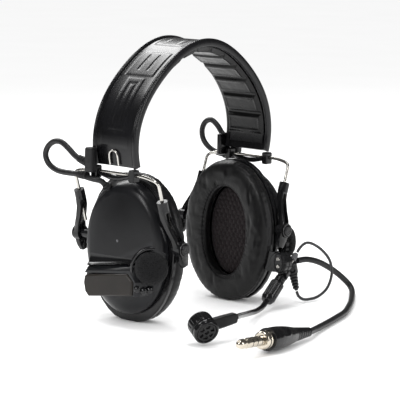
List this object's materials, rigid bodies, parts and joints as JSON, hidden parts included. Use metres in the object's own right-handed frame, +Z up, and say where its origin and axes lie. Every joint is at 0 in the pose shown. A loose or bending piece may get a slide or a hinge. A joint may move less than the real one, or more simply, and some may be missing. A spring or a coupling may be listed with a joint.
{
  "type": "radio communication headphones",
  "caption": "Folding over-ear radio headphones with wire yokes, a padded headband, a boom microphone, a battery lid and a ringed plug on a short lead.",
  "frame": {"origin": "centre of the underside of the standing headphones' box, without the free cords, on the surface they stand on", "axes": "+Z up, X from the right cup to the left cup, the microphone boom towards -Y"},
  "size_m": [0.2444, 0.2043, 0.1992],
  "materials": {
    "moulded_black": "semi-gloss",
    "gloss_black": "gloss",
    "shell_black": "fine grain, matte",
    "leatherette": "soft, satin",
    "liner": "dimpled open foam",
    "foam": "open-cell foam",
    "rubber_black": "matte",
    "cable": "satin jacket",
    "steel": "bright drawn wire",
    "nickel": "bright nickel",
    "lid_brown": "fine grain, matte",
    "cell_grey": "satin sleeve",
    "board_green": "solder mask"
  },
  "bodies": {
    "headband": {"headband_shell": "moulded_black", "headband_spring": "steel", "headband_pad": "leatherette", "end_bracket_right": "gloss_black", "spring_clip_right": "steel", "cable_clip_right": "rubber_black", "link_cable_right": "cable", "end_bracket_left": "gloss_black", "spring_clip_left": "steel", "cable_clip_left": "rubber_black", "link_cable_left": "cable"},
    "yoke_right": {"yoke_wire_right": "steel"},
    "fork_right": {"fork_arm_right_front": "gloss_black", "fork_arm_right_rear": "gloss_black"},
    "cup_right": {"cup_shell_right": "shell_black", "back_plate_right": "gloss_black", "ear_cushion_right": "leatherette", "ear_foam_right": "liner", "speaker_right": "moulded_black", "mic_pocket_right": "gloss_black", "ambient_foam_right": "foam", "pivot_screw_right_front": "gloss_black", "pivot_screw_right_rear": "gloss_black", "cable_grommet_right": "rubber_black", "circuit_board": "board_green", "battery_cell": "cell_grey"},
    "yoke_left": {"yoke_wire_left": "steel"},
    "fork_left": {"fork_arm_left_front": "gloss_black", "fork_arm_left_rear": "gloss_black"},
    "cup_left": {"cup_shell_left": "shell_black", "back_plate_left": "gloss_black", "ear_cushion_left": "leatherette", "ear_foam_left": "liner", "speaker_left": "moulded_black", "mic_pocket_left": "gloss_black", "ambient_foam_left": "foam", "pivot_screw_left_front": "gloss_black", "pivot_screw_left_rear": "gloss_black", "cable_grommet_left": "rubber_black", "boom_mount": "gloss_black", "mic_connector": "rubber_black", "downlead_gland": "rubber_black", "mic_lead": "cable", "downlead": "cable", "plug_body": "rubber_black", "plug_barrel": "nickel", "plug_finger": "nickel"},
    "battery_lid": {"battery_lid": "lid_brown"},
    "button_up": {"button_up": "rubber_black"},
    "button_down": {"button_down": "rubber_black"},
    "button_power": {"button_power": "rubber_black"},
    "boom_swivel": {"boom_swivel": "gloss_black"},
    "clamp_nut": {"clamp_nut": "gloss_black"},
    "boom": {"boom_rod": "steel", "boom_sleeve": "rubber_black", "boom_tube": "gloss_black", "mic_grille": "gloss_black", "mic_head": "rubber_black", "mic_neck": "rubber_black"}
  },
  "joints": [
    {"name": "fold_right", "type": "hinge", "parent": "headband", "child": "yoke_right", "pos_m": [-0.07217, 0.0233, 0.107], "axis": [0, 1, 0], "range_deg": [-72, 0]},
    {"name": "extend_right", "type": "slide", "parent": "yoke_right", "child": "fork_right", "axis": [0.311, 0, -0.9504], "range_m": [0, 0.02]},
    {"name": "tilt_right", "type": "hinge", "parent": "fork_right", "child": "cup_right", "pos_m": [-0.05577, 0.0233, 0.057], "axis": [0, 1, 0], "range_deg": [0, 7]},
    {"name": "fold_left", "type": "hinge", "parent": "headband", "child": "yoke_left", "pos_m": [0.07783, 0.0233, 0.107], "axis": [0, 1, 0], "range_deg": [0, 72]},
    {"name": "extend_left", "type": "slide", "parent": "yoke_left", "child": "fork_left", "axis": [0.311, 0, 0.9504], "range_m": [-0.02, 0]},
    {"name": "tilt_left", "type": "hinge", "parent": "fork_left", "child": "cup_left", "pos_m": [0.06143, 0.0233, 0.057], "axis": [0, 1, 0], "range_deg": [-7, 0]},
    {"name": "lid_hinge", "type": "hinge", "parent": "cup_right", "child": "battery_lid", "pos_m": [-0.07857, 0.0243, 0.0356], "axis": [0, 0.99, -0.141], "range_deg": [0, 100]},
    {"name": "button_up_press", "type": "slide", "parent": "cup_right", "child": "button_up", "axis": [0.5816, 0.7019, 0.4111], "range_m": [0, 0.0006], "stiffness_N_per_m": 1500},
    {"name": "button_down_press", "type": "slide", "parent": "cup_right", "child": "button_down", "axis": [0.5816, 0.7019, 0.4111], "range_m": [0, 0.0006], "stiffness_N_per_m": 1500},
    {"name": "button_power_press", "type": "slide", "parent": "cup_right", "child": "button_power", "axis": [0.5816, 0.7019, 0.4111], "range_m": [0, 0.0006], "stiffness_N_per_m": 1500},
    {"name": "boom_raise", "type": "hinge", "parent": "cup_left", "child": "boom_swivel", "pos_m": [0.05543, -0.0282, 0.0342], "axis": [1, 0, 0], "range_deg": [-95, 5]},
    {"name": "nut_turn", "type": "hinge", "parent": "boom_swivel", "child": "clamp_nut", "pos_m": [0.05491, -0.0292, 0.02304], "axis": [0.745, 0, 0.667], "range_deg": [0, 270]},
    {"name": "boom_extend", "type": "slide", "parent": "boom_swivel", "child": "boom", "axis": [-0.745, 0, -0.667], "range_m": [0, 0.008]}
  ]
}
